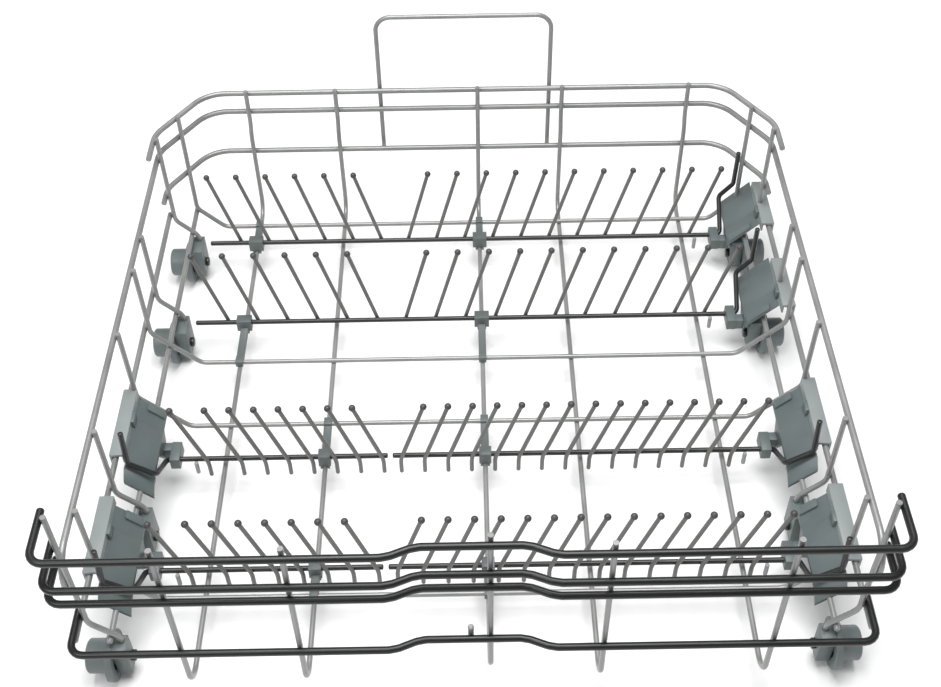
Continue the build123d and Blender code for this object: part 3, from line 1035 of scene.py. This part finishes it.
class BASKET_OT_rollers(bpy.types.Operator):
    """Turn the rollers"""

    bl_idname = "basket.rollers"
    bl_label = "Rollers"

    def execute(self, context):
        settings = context.scene.basket
        plastic = settings.plastic
        material = moulded_plastic("roller_plastic", plastic.roller_colour, plastic.roller_roughness)
        for place in ROLLERS:
            self.turned(f"roller_{place}", settings.roller, material)
        return {"FINISHED"}

    def profile(self, form, width, radius):
        """Half section (distance from the inner face, radius), from the bore's floor to the outer face."""
        inner = form.drum_radius - form.drum_wall
        rim = form.drum_radius - form.chamfer
        lip = rim - form.drum_wall
        return [
            (form.bore_depth, 0),
            (form.bore_depth, form.bore_radius),
            (0, form.bore_radius),
            (0, form.hub_radius),
            (form.cavity, form.hub_radius),
            (form.cavity, inner),
            (0, inner),
            (0, radius),
            (form.flange_width, radius),
            (form.flange_width, form.drum_radius),
            (width - form.chamfer, form.drum_radius),
            (width, rim),
            (width, lip),
            (width - form.dish, lip - form.dish),
            (width - form.dish, 0),
        ]

    def turned(self, node, form, material):
        """Replaces a roller by its profile turned about the axle."""
        low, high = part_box(node)
        outward = 1 if low.x > 0 else -1
        inner_face = low.x if outward > 0 else high.x
        centre = (low + high) / 2
        outline = self.profile(form, high.x - low.x, (high.z - low.z) / 2)
        turned = bmesh.new()
        points = [turned.verts.new((inner_face + outward * x, centre.y, centre.z + r)) for x, r in outline]
        edges = [turned.edges.new(pair) for pair in zip(points, points[1:])]
        bmesh.ops.spin(
            turned,
            geom=points + edges,
            cent=centre,
            axis=(1, 0, 0),
            angle=math.tau,
            steps=form.segments,
            use_merge=True,
        )
        bmesh.ops.remove_doubles(turned, verts=turned.verts, dist=MERGE)
        bmesh.ops.recalc_face_normals(turned, faces=turned.faces)
        mesh = as_mesh(node, turned)
        mesh.materials.append(material)
        maker = placed(node, mesh)
        add_bevel(maker, form.edge, SMOOTH_ANGLE)
        piece = finished(f"{node}_turned", maker)
        soften(piece)
        dress(piece, node, node)


class BASKET_OT_stage(bpy.types.Operator):
    """Set the floor, the light and the camera"""

    bl_idname = "basket.stage"
    bl_label = "Stage"

    def execute(self, context):
        stage = context.scene.basket.stage
        self.floor(stage)
        self.light(context.scene, stage)
        self.camera(context.scene, stage)
        return {"FINISHED"}

    def floor(self, stage):
        half = stage.floor_size / 2
        corners = [(x, y, 0) for x, y in oblong((-half, half), (-half, half))]
        mesh = bpy.data.meshes.new("floor")
        mesh.from_pydata(corners, [], [tuple(range(len(corners)))])
        mesh.materials.append(Finish("pale_floor", stage.floor_colour, stage.floor_roughness).material)
        shown("floor", mesh)

    def light(self, scene, stage):
        world = bpy.data.worlds.new("even_light")
        world.use_nodes = True
        even = world.node_tree.nodes["Background"].inputs
        even["Color"].default_value = WHITE
        even["Strength"].default_value = stage.sky
        scene.world = world
        scene.view_settings.view_transform = "Standard"
        self.area(scene, "top", stage.top_power, Vector(stage.top_place), stage.top_size)
        self.area(scene, "key", stage.key_power, Vector(stage.key_place), stage.key_size)

    def area(self, scene, name, power, place, size):
        """A square light that faces the middle of the floor."""
        lamp = bpy.data.lights.new(name, "AREA")
        lamp.energy = power
        lamp.size = size
        light = bpy.data.objects.new(name, lamp)
        light.location = place
        light.rotation_euler = (-place).to_track_quat("-Z", "Y").to_euler()
        scene.collection.objects.link(light)

    def camera(self, scene, stage):
        lens = bpy.data.cameras.new("camera")
        lens.lens = stage.lens
        lens.sensor_width = SENSOR_WIDTH
        camera = bpy.data.objects.new("camera", lens)
        pitch = Matrix.Rotation(math.pi / 2 - stage.camera_pitch, 4, "X")
        roll = Matrix.Rotation(stage.camera_roll, 4, "Z")
        camera.matrix_world = Matrix.Translation(stage.camera_place) @ pitch @ roll
        scene.collection.objects.link(camera)
        scene.camera = camera


OPERATORS = (
    BASKET_OT_frame,
    BASKET_OT_front_rails,
    BASKET_OT_bars,
    BASKET_OT_tines,
    BASKET_OT_brackets,
    BASKET_OT_clips,
    BASKET_OT_holders,
    BASKET_OT_rollers,
    BASKET_OT_stage,
)


class BASKET_PT_panel(bpy.types.Panel):
    """Lists the pieces of the basket"""

    bl_idname = "BASKET_PT_panel"
    bl_label = "Dishwasher Basket"
    bl_space_type = "VIEW_3D"
    bl_region_type = "UI"
    bl_category = "Basket"

    def draw(self, context):
        for operator in OPERATORS:
            self.layout.operator(operator.bl_idname)
        for group in BasketSettings.__annotations__:
            box = self.layout.box()
            settings = getattr(context.scene.basket, group)
            for name in settings.__annotations__:
                box.prop(settings, name)


CLASSES = (
    WireSettings,
    TineSettings,
    PlasticSettings,
    BracketSettings,
    RollerSettings,
    StageSettings,
    BasketSettings,
    *OPERATORS,
    BASKET_PT_panel,
)


def register():
    for cls in CLASSES:
        bpy.utils.register_class(cls)
    bpy.types.Scene.basket = PointerProperty(type=BasketSettings)


def unregister():
    del bpy.types.Scene.basket
    for cls in reversed(CLASSES):
        bpy.utils.unregister_class(cls)


def main():
    register()
    bpy.ops.basket.frame()
    bpy.ops.basket.front_rails()
    bpy.ops.basket.bars()
    bpy.ops.basket.tines()
    bpy.ops.basket.brackets()
    bpy.ops.basket.clips()
    bpy.ops.basket.holders()
    bpy.ops.basket.rollers()
    bpy.ops.basket.stage()


if __name__ == "__main__":
    main()
